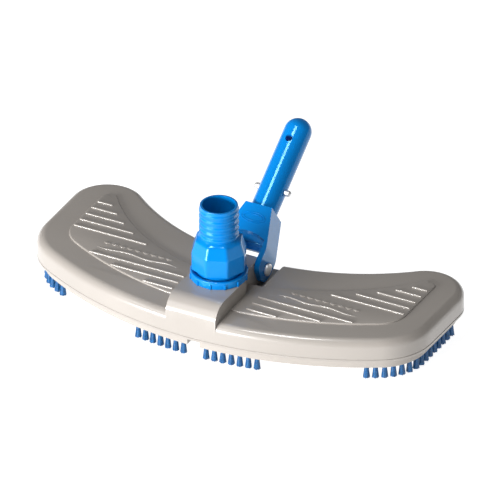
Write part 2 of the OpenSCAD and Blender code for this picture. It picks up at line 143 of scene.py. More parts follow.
def arc(cx, cy, r, start, end, step=3.0, count=0):
    """Points along an arc, in degrees: a set count of steps, or one at least every step degrees."""
    n = count or max(2, math.ceil(abs(end - start) / step))
    angles = [math.radians(start + (end - start) * i / n) for i in range(n + 1)]
    return [(cx + r * math.cos(a), cy + r * math.sin(a)) for a in angles]


print("outline helpers: loft, lathe, extrude, arc")

# %% [markdown]
# Real parts are cut, joined and rounded after their rough shape is made, and so are these. Blender's
# modifiers do it without hand-placed faces. Each is applied straight away, so that the next step
# works on a plain mesh, and so that no piece is left with a modifier that waits for something.

# %% Helpers: modifiers that are applied at once


def bake(obj):
    """Applies every modifier on an object."""
    graph = bpy.context.evaluated_depsgraph_get()
    mesh = bpy.data.meshes.new_from_object(obj.evaluated_get(graph))
    obj.modifiers.clear()
    obj.data = mesh
    return obj


def combine(obj, other, operation):
    """Cuts, joins or intersects with another object, which is then removed."""
    step = obj.modifiers.new("combine", "BOOLEAN")
    step.operation = operation
    step.solver = "EXACT"
    step.object = other
    bake(obj)
    bpy.data.objects.remove(other)
    return obj


def bevel(obj, width, segments=3, angle=50):
    """Rounds each edge that is sharper than an angle."""
    step = obj.modifiers.new("bevel", "BEVEL")
    step.width = width * MM
    step.segments = segments
    step.limit_method = "ANGLE"
    step.angle_limit = math.radians(angle)
    return bake(obj)


def smooth(obj, angle=35):
    """Smooth shading that stays crisp at edges sharper than an angle."""
    obj.data.shade_smooth()
    obj.data.set_sharp_from_angle(angle=math.radians(angle))
    return obj


def flatten_shading(obj):
    """Lets the large flat faces set the shading, so that only the rounded edges look round."""
    step = obj.modifiers.new("weight", "WEIGHTED_NORMAL")
    step.weight = 100
    step.keep_sharp = True
    return bake(obj)


def join(name, objects):
    """Makes one object out of several meshes that lie in place."""
    work = bmesh.new()
    for o in objects:
        work.from_mesh(o.data)
    mesh = bpy.data.meshes.new(name)
    work.to_mesh(mesh)
    work.free()
    for o in objects:
        bpy.data.objects.remove(o)
    obj = bpy.data.objects.new(name, mesh)
    bpy.context.scene.collection.objects.link(obj)
    return obj


def finish_piece(obj, material, body, slot, *replaced):
    """Gives a piece its finish, the body it moves with, and the CAD nodes it stands for."""
    obj.data.materials.clear()
    obj.data.materials.append(material)
    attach(obj, body)
    if replaced:
        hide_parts(*replaced)
    print(f"{obj.name}: {len(obj.data.vertices)} points on body {body}")


print("shape helpers: combine, bevel, smooth, flatten_shading, join")

# %% [markdown]
# ## Finishes
#
# Injection-moulded plastic is never one flat value. The skin has a very slight ripple from cooling,
# the gloss varies in broad patches where hands and water have dulled it, and the colour drifts a
# little. Each finish below is a Principled shader whose roughness, colour and bump come from noise
# at two sizes: centimetres for the patches and tenths of a millimetre for the texture.

# %% Build a moulded plastic


def shader(name):
    """A new material with its node tree, its Principled shader and object-space coordinates."""
    material = bpy.data.materials.new(name)
    material.use_nodes = True
    tree = material.node_tree
    principled = tree.nodes["Principled BSDF"]
    coords = tree.nodes.new("ShaderNodeTexCoord")
    return material, tree, principled, coords.outputs["Object"]


def noise(tree, coords, scale, detail=2.0):
    """A noise value; scale is roughly how many blobs there are to a metre."""
    node = tree.nodes.new("ShaderNodeTexNoise")
    node.inputs["Scale"].default_value = scale
    node.inputs["Detail"].default_value = detail
    tree.links.new(coords, node.inputs["Vector"])
    return node.outputs["Fac"]


def ramp(tree, value, start, end, first, last):
    """Maps a value between two positions to two colours or greys."""
    node = tree.nodes.new("ShaderNodeValToRGB")
    node.color_ramp.elements[0].position = start
    node.color_ramp.elements[1].position = end
    node.color_ramp.elements[0].color = first
    node.color_ramp.elements[1].color = last
    tree.links.new(value, node.inputs["Fac"])
    return node.outputs["Color"]


def bump(tree, principled, height, strength, distance):
    """Tilts the shading by a height, as if the surface rose by up to distance metres."""
    node = tree.nodes.new("ShaderNodeBump")
    node.inputs["Strength"].default_value = strength
    node.inputs["Distance"].default_value = distance
    tree.links.new(height, node.inputs["Height"])
    tree.links.new(node.outputs["Normal"], principled.inputs["Normal"])


def grey(v):
    """One value as an opaque grey."""
    return (v, v, v, 1.0)


def shade(colour, factor):
    """A colour made lighter or darker, and opaque."""
    return tuple(min(1.0, c * factor) for c in colour) + (1.0,)


def moulded_plastic(name, colour, rough, coat=0.0, texture=2600.0):
    """Gloss plastic with patches of dulled gloss, a slight colour drift and a fine texture."""
    material, tree, principled, coords = shader(name)
    patches = noise(tree, coords, 22.0, 3.0)
    tree.links.new(ramp(tree, patches, 0.35, 0.65, grey(rough - 0.03), grey(rough + 0.03)),
                   principled.inputs["Roughness"])
    drift = noise(tree, coords, 9.0)
    tree.links.new(ramp(tree, drift, 0.3, 0.7, shade(colour, 0.95), shade(colour, 1.05)),
                   principled.inputs["Base Color"])
    bump(tree, principled, noise(tree, coords, texture), 0.25, 0.00002)
    principled.inputs["IOR"].default_value = 1.5
    principled.inputs["Coat Weight"].default_value = coat
    principled.inputs["Coat Roughness"].default_value = 0.06
    return material


GREY = (0.325, 0.298, 0.272)
BLUE = (0.0, 0.180, 0.55)
shell_finish = moulded_plastic("grey_gloss_plastic", GREY, 0.32, coat=0.6)
plate_finish = moulded_plastic("grey_plate_plastic", tuple(1.1 * c for c in GREY), 0.42, coat=0.2)
blue_finish = moulded_plastic("blue_gloss_plastic", BLUE, 0.17, coat=0.12, texture=1800.0)
blue_gloss = blue_finish.node_tree.nodes["Principled BSDF"]
blue_gloss.inputs["Specular IOR Level"].default_value = 0.55
blue_gloss.inputs["Specular Tint"].default_value = (0.3, 0.8, 1.0, 1.0)
print("plastics:", shell_finish.name, plate_finish.name, blue_finish.name)

# %% [markdown]
# Steel needs fine scratches that run one way, which is noise stretched along the part. Rubber is dark
# and dull with a dusty patchiness. Cast iron under paint shows the grain of its sand mould. The
# bristle nylon is a little see-through, so it gets a touch of subsurface light and varies by filament.

# %% Build the metals, rubber and bristle finishes


def brushed_metal(name, colour, rough):
    """Metal with fine scratches along x and faint stains."""
    material, tree, principled, coords = shader(name)
    scale = tree.nodes.new("ShaderNodeMapping")
    scale.inputs["Scale"].default_value = (40.0, 900.0, 900.0)
    tree.links.new(coords, scale.inputs["Vector"])
    lines = noise(tree, scale.outputs["Vector"], 1.0, 4.0)
    tree.links.new(ramp(tree, lines, 0.3, 0.7, grey(rough - 0.06), grey(rough + 0.08)),
                   principled.inputs["Roughness"])
    stains = noise(tree, coords, 60.0, 3.0)
    tree.links.new(ramp(tree, stains, 0.3, 0.75, shade(colour, 0.9), shade(colour, 1.02)),
                   principled.inputs["Base Color"])
    principled.inputs["Metallic"].default_value = 1.0
    bump(tree, principled, lines, 0.15, 0.00001)
    return material


def grainy(name, colour, rough, size, relief, metallic=0.0):
    """A dull surface with a visible grain, for cast iron and rubber."""
    material, tree, principled, coords = shader(name)
    grain = noise(tree, coords, size, 5.0)
    tree.links.new(ramp(tree, grain, 0.35, 0.7, shade(colour, 0.8), shade(colour, 1.25)),
                   principled.inputs["Base Color"])
    dust = noise(tree, coords, 35.0)
    tree.links.new(ramp(tree, dust, 0.3, 0.7, grey(rough - 0.07), grey(rough + 0.07)),
                   principled.inputs["Roughness"])
    principled.inputs["Metallic"].default_value = metallic
    bump(tree, principled, grain, 0.5, relief)
    return material


def bristle_nylon(name, colour):
    """Nylon that varies by filament and lets a little light in."""
    material, tree, principled, coords = shader(name)
    strands = noise(tree, coords, 900.0, 1.0)
    tree.links.new(ramp(tree, strands, 0.3, 0.7, shade(colour, 0.6), shade(colour, 1.35)),
                   principled.inputs["Base Color"])
    tree.links.new(ramp(tree, noise(tree, coords, 300.0), 0.3, 0.7, grey(0.25), grey(0.45)),
                   principled.inputs["Roughness"])
    principled.inputs["Subsurface Weight"].default_value = 0.1
    principled.inputs["Subsurface Scale"].default_value = 0.001
    return material


steel_finish = brushed_metal("stainless_steel", (0.90, 0.91, 0.93), 0.45)
wire_finish = brushed_metal("anchor_wire", (0.70, 0.58, 0.34), 0.35)
iron_finish = grainy("coated_cast_iron", (0.05, 0.05, 0.055), 0.6, 700.0, 0.0002, 0.6)
rubber_finish = grainy("black_rubber", (0.02, 0.02, 0.021), 0.65, 1500.0, 0.00003)
washer_finish = moulded_plastic("white_slip_plastic", (0.8, 0.8, 0.78), 0.35)
bristle_finish = bristle_nylon("blue_bristle_nylon", (0.0, 0.080, 0.235))
print("other finishes:", len(bpy.data.materials), "materials in all")

# %% [markdown]
# ## The crescent outline
#
# The head's plan is a chain of arcs that meet without corners: a wide convex front, a corner arc at
# each end, a short straight side, a round rear tip and the concave rear edge. Because every arc is
# known, the same function draws the outline set in by any amount, which is what a wall, a rounded
# edge or a row of tufts needs. That is exact, where scaling a copy would thin the walls at the tips.

# %% Draw the outline
HALF_LEN = 216.0
FRONT_R, FRONT_CY = 372.0, 310.5
CORNER_R = 59.0
TIP_R, TIP_Y = 39.0, 100.0
REAR_R = 239.0
CORNER_X = HALF_LEN - CORNER_R
CORNER_Y = FRONT_CY - math.sqrt((FRONT_R - CORNER_R) ** 2 - CORNER_X ** 2)
TIP_X = HALF_LEN - TIP_R
REAR_CY = TIP_Y + math.sqrt((REAR_R + TIP_R) ** 2 - TIP_X ** 2)
CORNER_TURN = math.degrees(math.atan2(FRONT_CY - CORNER_Y, CORNER_X))
TIP_TURN = math.degrees(math.atan2(REAR_CY - TIP_Y, -TIP_X))


def crescent(inset):
    """The closed outline, set in by some millimetres, from the front middle round to the right."""
    side = arc(0, FRONT_CY, FRONT_R - inset, -90, -CORNER_TURN, 1.0)
    side += arc(CORNER_X, CORNER_Y, CORNER_R - inset, -CORNER_TURN, 0, 3.0)[1:]
    side += arc(TIP_X, TIP_Y, TIP_R - inset, 0, TIP_TURN, 4.0)
    side += arc(0, REAR_CY, REAR_R + inset, TIP_TURN - 180, -90, 1.5)[1:]
    return side + [(-x, y) for x, y in side[-2:0:-1]]


print("outline points:", len(crescent(0)), " corner centre:", round(CORNER_X), round(CORNER_Y, 1))

# %% [markdown]
# ## The shell
#
# The shell is the big grey moulding. Its upper edge has a generous 9 mm round that catches a long
# highlight, so the rings there are close together. A bay is cut out of the rear for the handle's
# arms, and a round port goes down through the middle for the water. Booleans suit these cuts because
# they meet the curved rim, where hand-placed faces would be fiddly.

# %% Model the shell's skin
DECK = 47.0
BLOCK_TOP = 65.0
BAY_X, BAY_Y, BAY_FLOOR = 34.0, 26.0, 38.0
PORT_R = 22.0
EDGE_R, EDGE_STEPS = 9.0, 12
WALL = 3.0
FACE = 0.03  # the outer face lies this far inside the outline, so it never passes the CAD's box


def ring(inset, z):
    """The outline at one height, set in by some millimetres."""
    return [head_point(x, y, z) for x, y in crescent(inset)]


def upright(name, r, z0, z1):
    """A round bar on the hose axis."""
    return lathe(name, [(r, z0), (r, z1)], head_point)


def cut_port(obj):
    """Drills the water port down through a piece."""
    return combine(obj, upright("port_cut", PORT_R, 20.0, 90.0), "DIFFERENCE")


rim = [(WALL, 34.0), (WALL, 23.6), (WALL, SHELL_BOTTOM)]  # up the inside and under the wall
rim += [(0.6, SHELL_BOTTOM), (0.2, 23.18), (FACE, 23.6)]  # the softened foot
rim += [(FACE, 25.4), (0.55, 25.7), (0.55, 26.3), (FACE, 26.6)]  # the groove line
rim += [(FACE, 30.0), (FACE, DECK - EDGE_R)]
for i in range(1, EDGE_STEPS + 1):
    turn = math.radians(90 * i / EDGE_STEPS)
    rim.append((FACE + EDGE_R * (1 - math.cos(turn)), DECK - EDGE_R * (1 - math.sin(turn))))
skin = loft("shell_skin", [ring(inset, z) for inset, z in rim])
bay = [(-BAY_X, BAY_Y), (BAY_X, BAY_Y), (BAY_X, 140.0), (-BAY_X, 140.0)]
combine(skin, extrude("bay_cut", bay, head_point, BAY_FLOOR, 80.0), "DIFFERENCE")
cut_port(skin)
bevel(skin, 0.9, 3, 65)
smooth(skin, 30)
print("shell skin:", len(skin.data.polygons), "faces")

# %% [markdown]
# ## The centre block and hinge lug
#
# A block with flat sides and a large rounded nose stands on the middle of the shell and carries the
# hose ring. It could be built from faces, but it is plainly a side profile pushed across, with its
# edges rounded a little, as a mould needs. Its nose is then cut to the same front curve as the
# shell, so that the two faces run together, and a round boss carries it back under the ring.

# %% Model the centre block
BLOCK_X = 27.6
BLOCK_FOOT = 30.0
NOSE_R = 20.0
FRONT_Y = -61.5


def side_view(u, v, across):
    """Profiles drawn as front-to-rear and up, pushed across the head."""
    return head_point(across, u, v)


nose = arc(FRONT_Y + NOSE_R, BLOCK_TOP - NOSE_R, NOSE_R, 180, 90, 6.0)
profile = [(0.0, BLOCK_FOOT), (FRONT_Y, BLOCK_FOOT)] + nose + [(0.0, BLOCK_TOP)]
block = extrude("centre_block", profile, side_view, -BLOCK_X, BLOCK_X)
kept_front = arc(0, FRONT_CY, FRONT_R, -97, -83, 0.35) + [(45.0, 40.0), (-45.0, 40.0)]
combine(block, extrude("front_curve", kept_front, head_point, 10.0, 80.0), "INTERSECT")
combine(block, upright("boss", BLOCK_X, 34.0, BLOCK_TOP), "UNION")
bevel(block, 1.6, 4, 60)
flatten_shading(smooth(cut_port(block), 28))
print("centre block:", len(block.data.polygons), "faces")

# %% [markdown]
# Behind the block the hinge lug runs back to a round nose about the pin, between the handle's arms.
# It is a side profile as well. Its top is a hair lower than the block's, so that the two flat tops
# don't flicker where they overlap. The upright seat that the hose ring grips is a lathe shape.

# %% Model the hinge lug and the ring's seat
LUG_X, LUG_FOOT = 20.5, 36.0
LUG_TOP, LUG_NOSE_R = BLOCK_TOP - 0.01, 9.5
PIN_Y, PIN_Z = 51.0, 51.9
lug_nose = arc(PIN_Y, PIN_Z, LUG_NOSE_R, 50, 0, 6.0)
profile = [(0.0, LUG_FOOT), (0.0, LUG_TOP), (PIN_Y - 8, LUG_TOP)] + lug_nose
profile.append((PIN_Y + LUG_NOSE_R, LUG_FOOT))
lug = extrude("hinge_lug", profile, side_view, -LUG_X, LUG_X)
bevel(lug, 1.0, 3, 60)
flatten_shading(smooth(cut_port(lug), 28))
seat_wall = [(PORT_R, 60.0), (26.4, 60.0), (26.4, 68.6), (26.0, 69.0), (22.4, 69.0), (PORT_R, 68.6)]
seat = smooth(lathe("hose_seat", seat_wall, head_point, closed=True))
print("hinge lug:", len(lug.data.polygons), "faces; ring seat:", len(seat.data.polygons), "faces")

# %% [markdown]
# ## Grip panels, ribs and the wave motif
#
# Each wing carries a thin raised panel, so that a wet hand can lift the head. A panel could be
# sculpted or cut from a copy of the deck, but its outline is again a chain of arcs, so a loft follows
# it exactly. The edge is a round made of five small steps. The right panel is drawn, and the same
# function with its side turned to -1 gives the left one.

# %% Model the panels
PANEL_TOP = DECK + 1.4
PANEL_MARGIN = 32
PANEL_REAR_R, PANEL_REAR_CY = 215, 240.6
PANEL_BAY_X, PANEL_BAY_Y = 34.4, 25.6


def panel_outline(inset):
    """The right wing's panel, set in by some millimetres."""
    front_r, rear_r = FRONT_R - PANEL_MARGIN - inset, PANEL_REAR_R + inset
    inner, bay_x, bay_y = BLOCK_X - 1.0, PANEL_BAY_X + inset, PANEL_BAY_Y - inset
    start = math.degrees(math.acos(inner / front_r))
    tip = arc(180, 104, 6 - inset, 0, 124, 12.0)
    line = arc(0, FRONT_CY, front_r, -start, -CORNER_TURN, count=26)
    line += arc(HALF_LEN - 62, 44, 32 - inset, -CORNER_TURN, 0, 4.0)[1:] + tip
    far = math.degrees(math.atan2(tip[-1][1] - PANEL_REAR_CY, tip[-1][0]))
    near = -math.degrees(math.acos(bay_x / rear_r))
    line += arc(0, PANEL_REAR_CY, rear_r, far + 0.2, near, count=32)
    return line + [(bay_x, bay_y), (inner, bay_y)]


def panel_ring(side, inset, z):
    """The panel's outline on one wing: side is 1 for the right and -1 for the left."""
    return [head_point(side * x, y, z) for x, y in panel_outline(inset)]


panels = []
for side in (1, -1):
    steps = [(0.0, DECK - 0.5), (0.0, PANEL_TOP - 1.0), (0.2, PANEL_TOP - 0.62),
             (0.5, PANEL_TOP - 0.32), (0.95, PANEL_TOP - 0.1), (1.4, PANEL_TOP)]
    panel = loft("grip_panel", [panel_ring(side, inset, z) for inset, z in steps])
    panels.append(smooth(panel, 40))
print("panel outline points:", len(panel_outline(0)))

# %% [markdown]
# The ribs are straight low bars, one every 12.5 mm, that stop short of the panel's edge. A texture
# could fake them, but they catch the light from the side, so they are real bars. Each is a loft of
# rings that shrink towards the top. Two rows in the middle are left free for the mark.

# %% Model the ribs
RIB_PITCH = 12.5
RIB_ROWS = (0, 1, 2, 3, 4, 7, 8, 9)
RIB_HALF = 0.85
RIB_TOP = PANEL_TOP + 1.2
RIB_STEPS = [(0.0, PANEL_TOP - 0.3), (0.0, RIB_TOP - 0.8), (0.08, RIB_TOP - 0.5),
             (0.25, RIB_TOP - 0.24), (0.48, RIB_TOP - 0.07), (0.72, RIB_TOP)]


def rib(x0, x1, y):
    """A low bar with round ends and a softened top."""
    rings = []
    for inset, z in RIB_STEPS:
        r = RIB_HALF - inset
        line = arc(x1 - RIB_HALF, y, r, -90, 90, 22.5) + arc(x0 + RIB_HALF, y, r, 90, 270, 22.5)
        rings.append([head_point(u, v, z) for u, v in line])
    return smooth(loft("rib", rings), 40)


def rib_span(y):
    """Where a rib starts and ends along the panel, at some distance behind the hose axis."""
    nearest = PANEL_BAY_X + 6.6
    reach = (PANEL_REAR_R + 8.0) ** 2 - (PANEL_REAR_CY - y) ** 2
    start = math.sqrt(reach) if reach > nearest ** 2 else nearest
    end = math.sqrt((FRONT_R - PANEL_MARGIN - 1.2) ** 2 - (FRONT_CY - y) ** 2)
    return start, min(HALF_LEN - 32, end)


ribs = []
for row in RIB_ROWS:
    y = TIP_Y - 7.4 - row * RIB_PITCH
    start, end = rib_span(y)
    for side in (1, -1):
        x0, x1 = sorted((side * start, side * end))
        ribs.append(rib(x0, x1, y))
print("ribs:", len(ribs))

# %% [markdown]
# Between the ribs a maker puts a mark. Here it is a plain wave under a row of nine lozenges. The wave
# could be a curve with a bevel, but a loft lets its width and height taper off at both ends.

# %% Model the wave motif
WAVE_START, WAVE_END, WAVE_Y = 56, 146, 18.0
WAVE_HEIGHT, WAVE_LENGTH, WAVE_STEPS = 1.3, 45.0, 96
SUNK = PANEL_TOP - 0.2


def wave(side):
    """A low round ridge that follows a sine line, tapered at both ends."""
    rings = []
    for i in range(WAVE_STEPS + 1):
        t = i / WAVE_STEPS
        x = WAVE_START + (WAVE_END - WAVE_START) * t
        y = WAVE_Y + WAVE_HEIGHT * math.sin(2 * math.pi * (x - WAVE_START) / WAVE_LENGTH)
        taper = min(1.0, 6 * t, 6 * (1 - t))
        w = 0.85 * taper + 0.05
        crest, shoulder = PANEL_TOP + 0.9 * taper, PANEL_TOP + 0.35 * (0.9 * taper)
        line = [(-w, SUNK), (w, SUNK), (w, shoulder),
                (0.55 * w, crest), (-0.55 * w, crest), (-w, shoulder)]
        rings.append([head_point(side * x, y + u, z) for u, z in line])
    return smooth(loft("wave", rings), 60)


def lozenge(x, side):
    """A small raised mark behind the wave."""
    y, half, deep = 27.5, 3.4, 2.0
    outline = [(x - half, y), (x, y - deep), (x + half, y), (x, y + deep)]
    turned = [(side * u, v) for u, v in outline]
    bar = extrude("mark", turned, head_point, SUNK, PANEL_TOP + 0.8)
    return smooth(bevel(bar, 0.35, 2, 40), 40)


marks = [wave(side) for side in (1, -1)]
marks += [lozenge(70 + 8.6 * k, side) for k in range(9) for side in (1, -1)]
print("marks on the panels:", len(marks))
shell = join("shell_body", [skin, block, lug, seat] + panels + ribs + marks)
finish_piece(shell, shell_finish, "head", "grey_plastic", "top_shell")

# %% [markdown]
# ## Bristle tufts
#
# On the real head each tuft is a bundle of nylon filaments folded over a wire anchor and driven into
# a hole. A plain cone would read as a rubber foot, so each tuft is drawn as 54 separate filaments
# that start close together in the hole and splay towards the floor, round a cone that fills the
# gaps where the bundle is dense. Their layout follows the sunflower spiral, which fills a disc
# evenly, with a small repeatable wobble.

# %% Model one tuft
TUFT_R, TUFT_TIP_R = 1.75, 3.8
FILAMENTS = 54
GOLDEN_TURN = 2.399963
CORE_SIDES = 12
TUFT_TOP = PLATE_BOTTOM + 2.0
CORE = [(1.5, TUFT_TOP), (2.1, PLATE_BOTTOM), (3.4, 0.8)]


def wobble(seed):
    """A repeatable value between -1 and 1."""
    value = math.sin(seed * 12.9898 + 4.1414) * 43758.5453
    return 2 * (value - math.floor(value)) - 1


def add_tube(points, faces, rings):
    """Adds rings of equal length, the faces between them and a cap on the last one."""
    base, n = len(points), len(rings[0])
    for ring_points in rings:
        points += ring_points
    for k in range(base, base + n * (len(rings) - 1), n):
        faces += [(k + i, k + (i + 1) % n, k + n + (i + 1) % n, k + n + i) for i in range(n)]
    faces.append(tuple(range(len(points) - n, len(points))))


def circle(x, y, r, z, turns):
    """Points round a spot at some turns, in radians."""
    return [head_point(x + r * math.cos(a), y + r * math.sin(a), z) for a in turns]


def add_tuft(points, faces, cx, cy, seed):
    """Adds one tuft: its core cone, then its filaments, each with three sides."""
    turns = [2 * math.pi * i / CORE_SIDES for i in range(CORE_SIDES)]
    add_tube(points, faces, [circle(cx, cy, r, z, turns) for r, z in CORE])
    for k in range(FILAMENTS):
        share = math.sqrt((k + 0.5) / FILAMENTS)
        turn = k * GOLDEN_TURN + seed
        lean = 0.35 * wobble(seed * 7.3 + k)
        foot = 0.5 * abs(wobble(seed + k * 1.7)) * share
        levels = [(TUFT_TOP, TUFT_R - 0.15, 0.24), (PLATE_BOTTOM * 0.85, 2.3, 0.3),
                  (foot, TUFT_TIP_R - 0.25, 0.3)]
        rings = []
        for level, (z, reach, thick) in enumerate(levels):
            a = turn + lean * level / 2
            x, y = cx + share * reach * math.cos(a), cy + share * reach * math.sin(a)
            rings.append(circle(x, y, thick, z, (0.5, 2.6, 4.7)))
        add_tube(points, faces, rings)


print("one tuft:", FILAMENTS, "filaments from", round(TUFT_TOP, 1), "mm down to the floor")

# %% [markdown]
# The tufts sit on a line 10.5 mm inside the outline. Two groups are along the front edge beside the
# middle notch, one wraps round each end, and one runs along each side of the rear edge. The places
# are worked out along the same arcs as the outline, so the groups follow it exactly.

# %% Place the tufts and model each group
TUFT_INSET = 10.5
PITCH = 9.0
NOTCH_SIDE, REAR_SIDE = 12.5, 50.0
FRONT_LINE, REAR_LINE = FRONT_R - TUFT_INSET, REAR_R + TUFT_INSET
CORNER_LINE, TIP_LINE = CORNER_R - TUFT_INSET, TIP_R - TUFT_INSET
corner_len = CORNER_LINE * math.radians(CORNER_TURN)


def along_arc(cx, cy, r, angle):
    """The place at an angle, in radians, on an arc."""
    return cx + r * math.cos(angle), cy + r * math.sin(angle)


def end_place(s):
    """A place on the tuft line round the right end, s millimetres past the front arc."""
    if s < 0:
        return along_arc(0, FRONT_CY, FRONT_LINE, s / FRONT_LINE - math.radians(CORNER_TURN))
    if s < corner_len:
        angle = s / CORNER_LINE - math.radians(CORNER_TURN)
        return along_arc(CORNER_X, CORNER_Y, CORNER_LINE, angle)
    if s < corner_len + TIP_Y - CORNER_Y:
        return HALF_LEN - TUFT_INSET, CORNER_Y + s - corner_len
    return along_arc(TIP_X, TIP_Y, TIP_LINE, (s - corner_len - TIP_Y + CORNER_Y) / TIP_LINE)


def middle_row(cy, line, first_x, count):
    """A row of places on an arc that starts first_x to the right of the middle."""
    start = -math.pi / 2 + math.asin(first_x / line)
    return [along_arc(0, cy, line, start + i * PITCH / line) for i in range(count)]


places = {
    "front": middle_row(FRONT_CY, FRONT_LINE, NOTCH_SIDE, 7),
    "tip": [end_place(i * PITCH - 14.0) for i in range(15)],
    "rear": middle_row(REAR_CY, REAR_LINE, REAR_SIDE, 8),
}
for group, spots in places.items():
    for side, word in ((1, "right"), (-1, "left")):
        points, faces = [], []
        first_seed = 11 if side > 0 else 23
        for i, (x, y) in enumerate(spots):
            add_tuft(points, faces, side * x, y, 3.1 * i + first_seed + len(group))
        tufts = smooth(new_object(f"tufts_{group}_{word}", points, faces), 80)
        finish_piece(tufts, bristle_finish, "head", "blue_bristle", f"bristles_{group}_{word}")

# %% [markdown]
# ## The hose ring
#
# The blue ring clamps the adapter down but lets it turn, and has twelve small lugs for a spanner.
# A boolean could join the lugs on, but on the real part they run into the ring without a seam that
# shows, so a lathe shape with rounded bars sunk a little into it looks the same and stays simple.

# %% Model the hose ring
COLLAR_R = 28.5
LUG_IN, LUG_OUT, LUG_HALF = COLLAR_R - 0.6, COLLAR_R + 1.0, 1.3
profile = [(26.5, 65.0), (28.1, 65.0), (COLLAR_R, 65.4), (COLLAR_R, 72.2), (28.2, 72.75),
           (27.6, 73.0), (25.3, 73.0), (24.9, 72.7), (24.8, 72.3), (24.8, 71.25), (26.5, 71.25)]
collar = smooth(lathe("hose_ring", profile, head_point, 120, closed=True), 40)
lugs = []
for i in range(12):
    turn = math.radians(10 + i * 30)
    outline = [(LUG_IN, -LUG_HALF), (LUG_OUT, -LUG_HALF), (LUG_OUT, LUG_HALF), (LUG_IN, LUG_HALF)]
    spun = [(u * math.cos(turn) - v * math.sin(turn), u * math.sin(turn) + v * math.cos(turn))
            for u, v in outline]
    bar = extrude("lug", spun, head_point, 65.05, 70.5)
    lugs.append(smooth(bevel(bar, 0.4, 2, 50), 40))
collar = join("hose_ring_with_lugs", [collar] + lugs)
finish_piece(collar, blue_finish, "head", "blue_plastic", "swivel_collar")

# %% [markdown]
# ## The hose adapter
#
# The adapter is a tube whose outside changes from round to an octagonal grip and back to a barbed
# spigot. A single loft can make that: each ring has the same 128 points, and one number says how
# octagonal it is. Where it is fully octagonal the corners are still slightly round, as moulded ones are.

# %% Model the hose adapter
RING_POINTS = 128
GRIP_R, NECK_R, BORE_R = 28.5, 22.6, 16.5
CORNER_REACH = 0.9865


def grip_ring(r, z, flat):
    """A ring whose flats are drawn in by a share between round (0) and octagonal (1)."""
    points = []
    for i in range(RING_POINTS):
        a = 2 * math.pi * (i + 0.5) / RING_POINTS
        off = (a + math.pi / 8) % (math.pi / 4) - math.pi / 8
        side = math.pi / 8 - abs(off)
        straight = math.cos(math.pi / 8) / math.cos(side)
        reach = r * (1 + (min(straight, CORNER_REACH) - 1) * flat)
        points.append(head_point(reach * math.cos(a), reach * math.sin(a), z))
    return points


# The sleeve in the port, with the seal's groove, and the flange under the ring.
steps = [(BORE_R, 60.0, 0), (21.1, 60.0, 0), (21.4, 60.3, 0), (21.4, 64.0, 0), (19.3, 64.0, 0),
         (19.3, 67.0, 0), (21.4, 67.0, 0), (21.4, 69.55, 0), (25.9, 69.55, 0), (26.15, 69.8, 0),
         (26.15, 70.95, 0), (NECK_R, 70.95, 0), (NECK_R, 76.6, 0), (22.9, 76.9, 0)]
# The octagonal grip, which runs out to round under the spigot.
steps += [(27.5, 76.9, 1), (28.1, 77.1, 1), (GRIP_R, 77.6, 1), (GRIP_R, 86.0, 1),
          (GRIP_R, 95.6, 1), (28.35, 96.4, 1), (28.0, 97.4, 1), (26.2, 102.8, 1),
          (24.75, 107.4, 1), (24.3, 108.6, 1), (23.7, 109.2, 0.95), (22.8, 109.7, 0.8),
          (21.3, 110.3, 0.4), (20.0, 111.2, 0.1), (19.2, 112.0, 0)]
# Five barbs, from the lowest up, and the rim.
BARB_R, BARB_PITCH, CORE_R, RIM = 19.9, 6.7, 19.0, 146.8
for i in range(4, -1, -1):
    z = RIM - 4.6 - i * BARB_PITCH
    steps += [(CORE_R, z - 4.3, 0), (19.15, z - 3.9, 0), (19.8, z - 1.6, 0), (BARB_R, z - 1.3, 0),
              (BARB_R, z - 0.15, 0), (19.75, z + 0.2, 0), (19.1, z + 1.3, 0), (CORE_R, z + 1.6, 0)]
steps += [(CORE_R, RIM - 0.6, 0), (18.85, RIM - 0.2, 0), (18.5, RIM, 0), (16.9, RIM, 0),
          (16.6, RIM - 0.15, 0), (BORE_R, RIM - 0.5, 0)]
adapter = loft("adapter_body", [grip_ring(r, z, flat) for r, z, flat in steps], closed=True)
smooth(adapter, 24)
finish_piece(adapter, blue_finish, "adapter", "blue_plastic", "hose_adapter")

# %% [markdown]
# ## The handle
#
# The handle is a forked yoke on a round spigot. Seen from the front the yoke narrows to the spigot,
# and seen from the side it has a round foot about the pin. The simplest true way to get such a shape
# is to cut the side view out of the front view with a boolean, then cut the arched gap between the
# arms, and round what edges are left.

# %% Model the yoke
ARM_IN, ARM_OUT = 21.0, 26.5
YOKE_TOP, YOKE_BEND = 56.6, 14.0
YOKE_FRONT, YOKE_BACK = 20.1, 13.5
SPIGOT_R, SPIGOT_FRONT = 14.0, 3.5
FOOT_R, TOE_R, TOE_FRONT = 13.0, 11.0, 9.1
FAR = 40.0  # well past the yoke on every side


def seen_from_front(u, v, depth):
    """Outlines drawn as across and along the handle."""
    return handle_point(u, depth, v)


def seen_from_side(u, v, depth):
    """Outlines drawn as towards the front and along the handle."""
    return handle_point(depth, u, v)


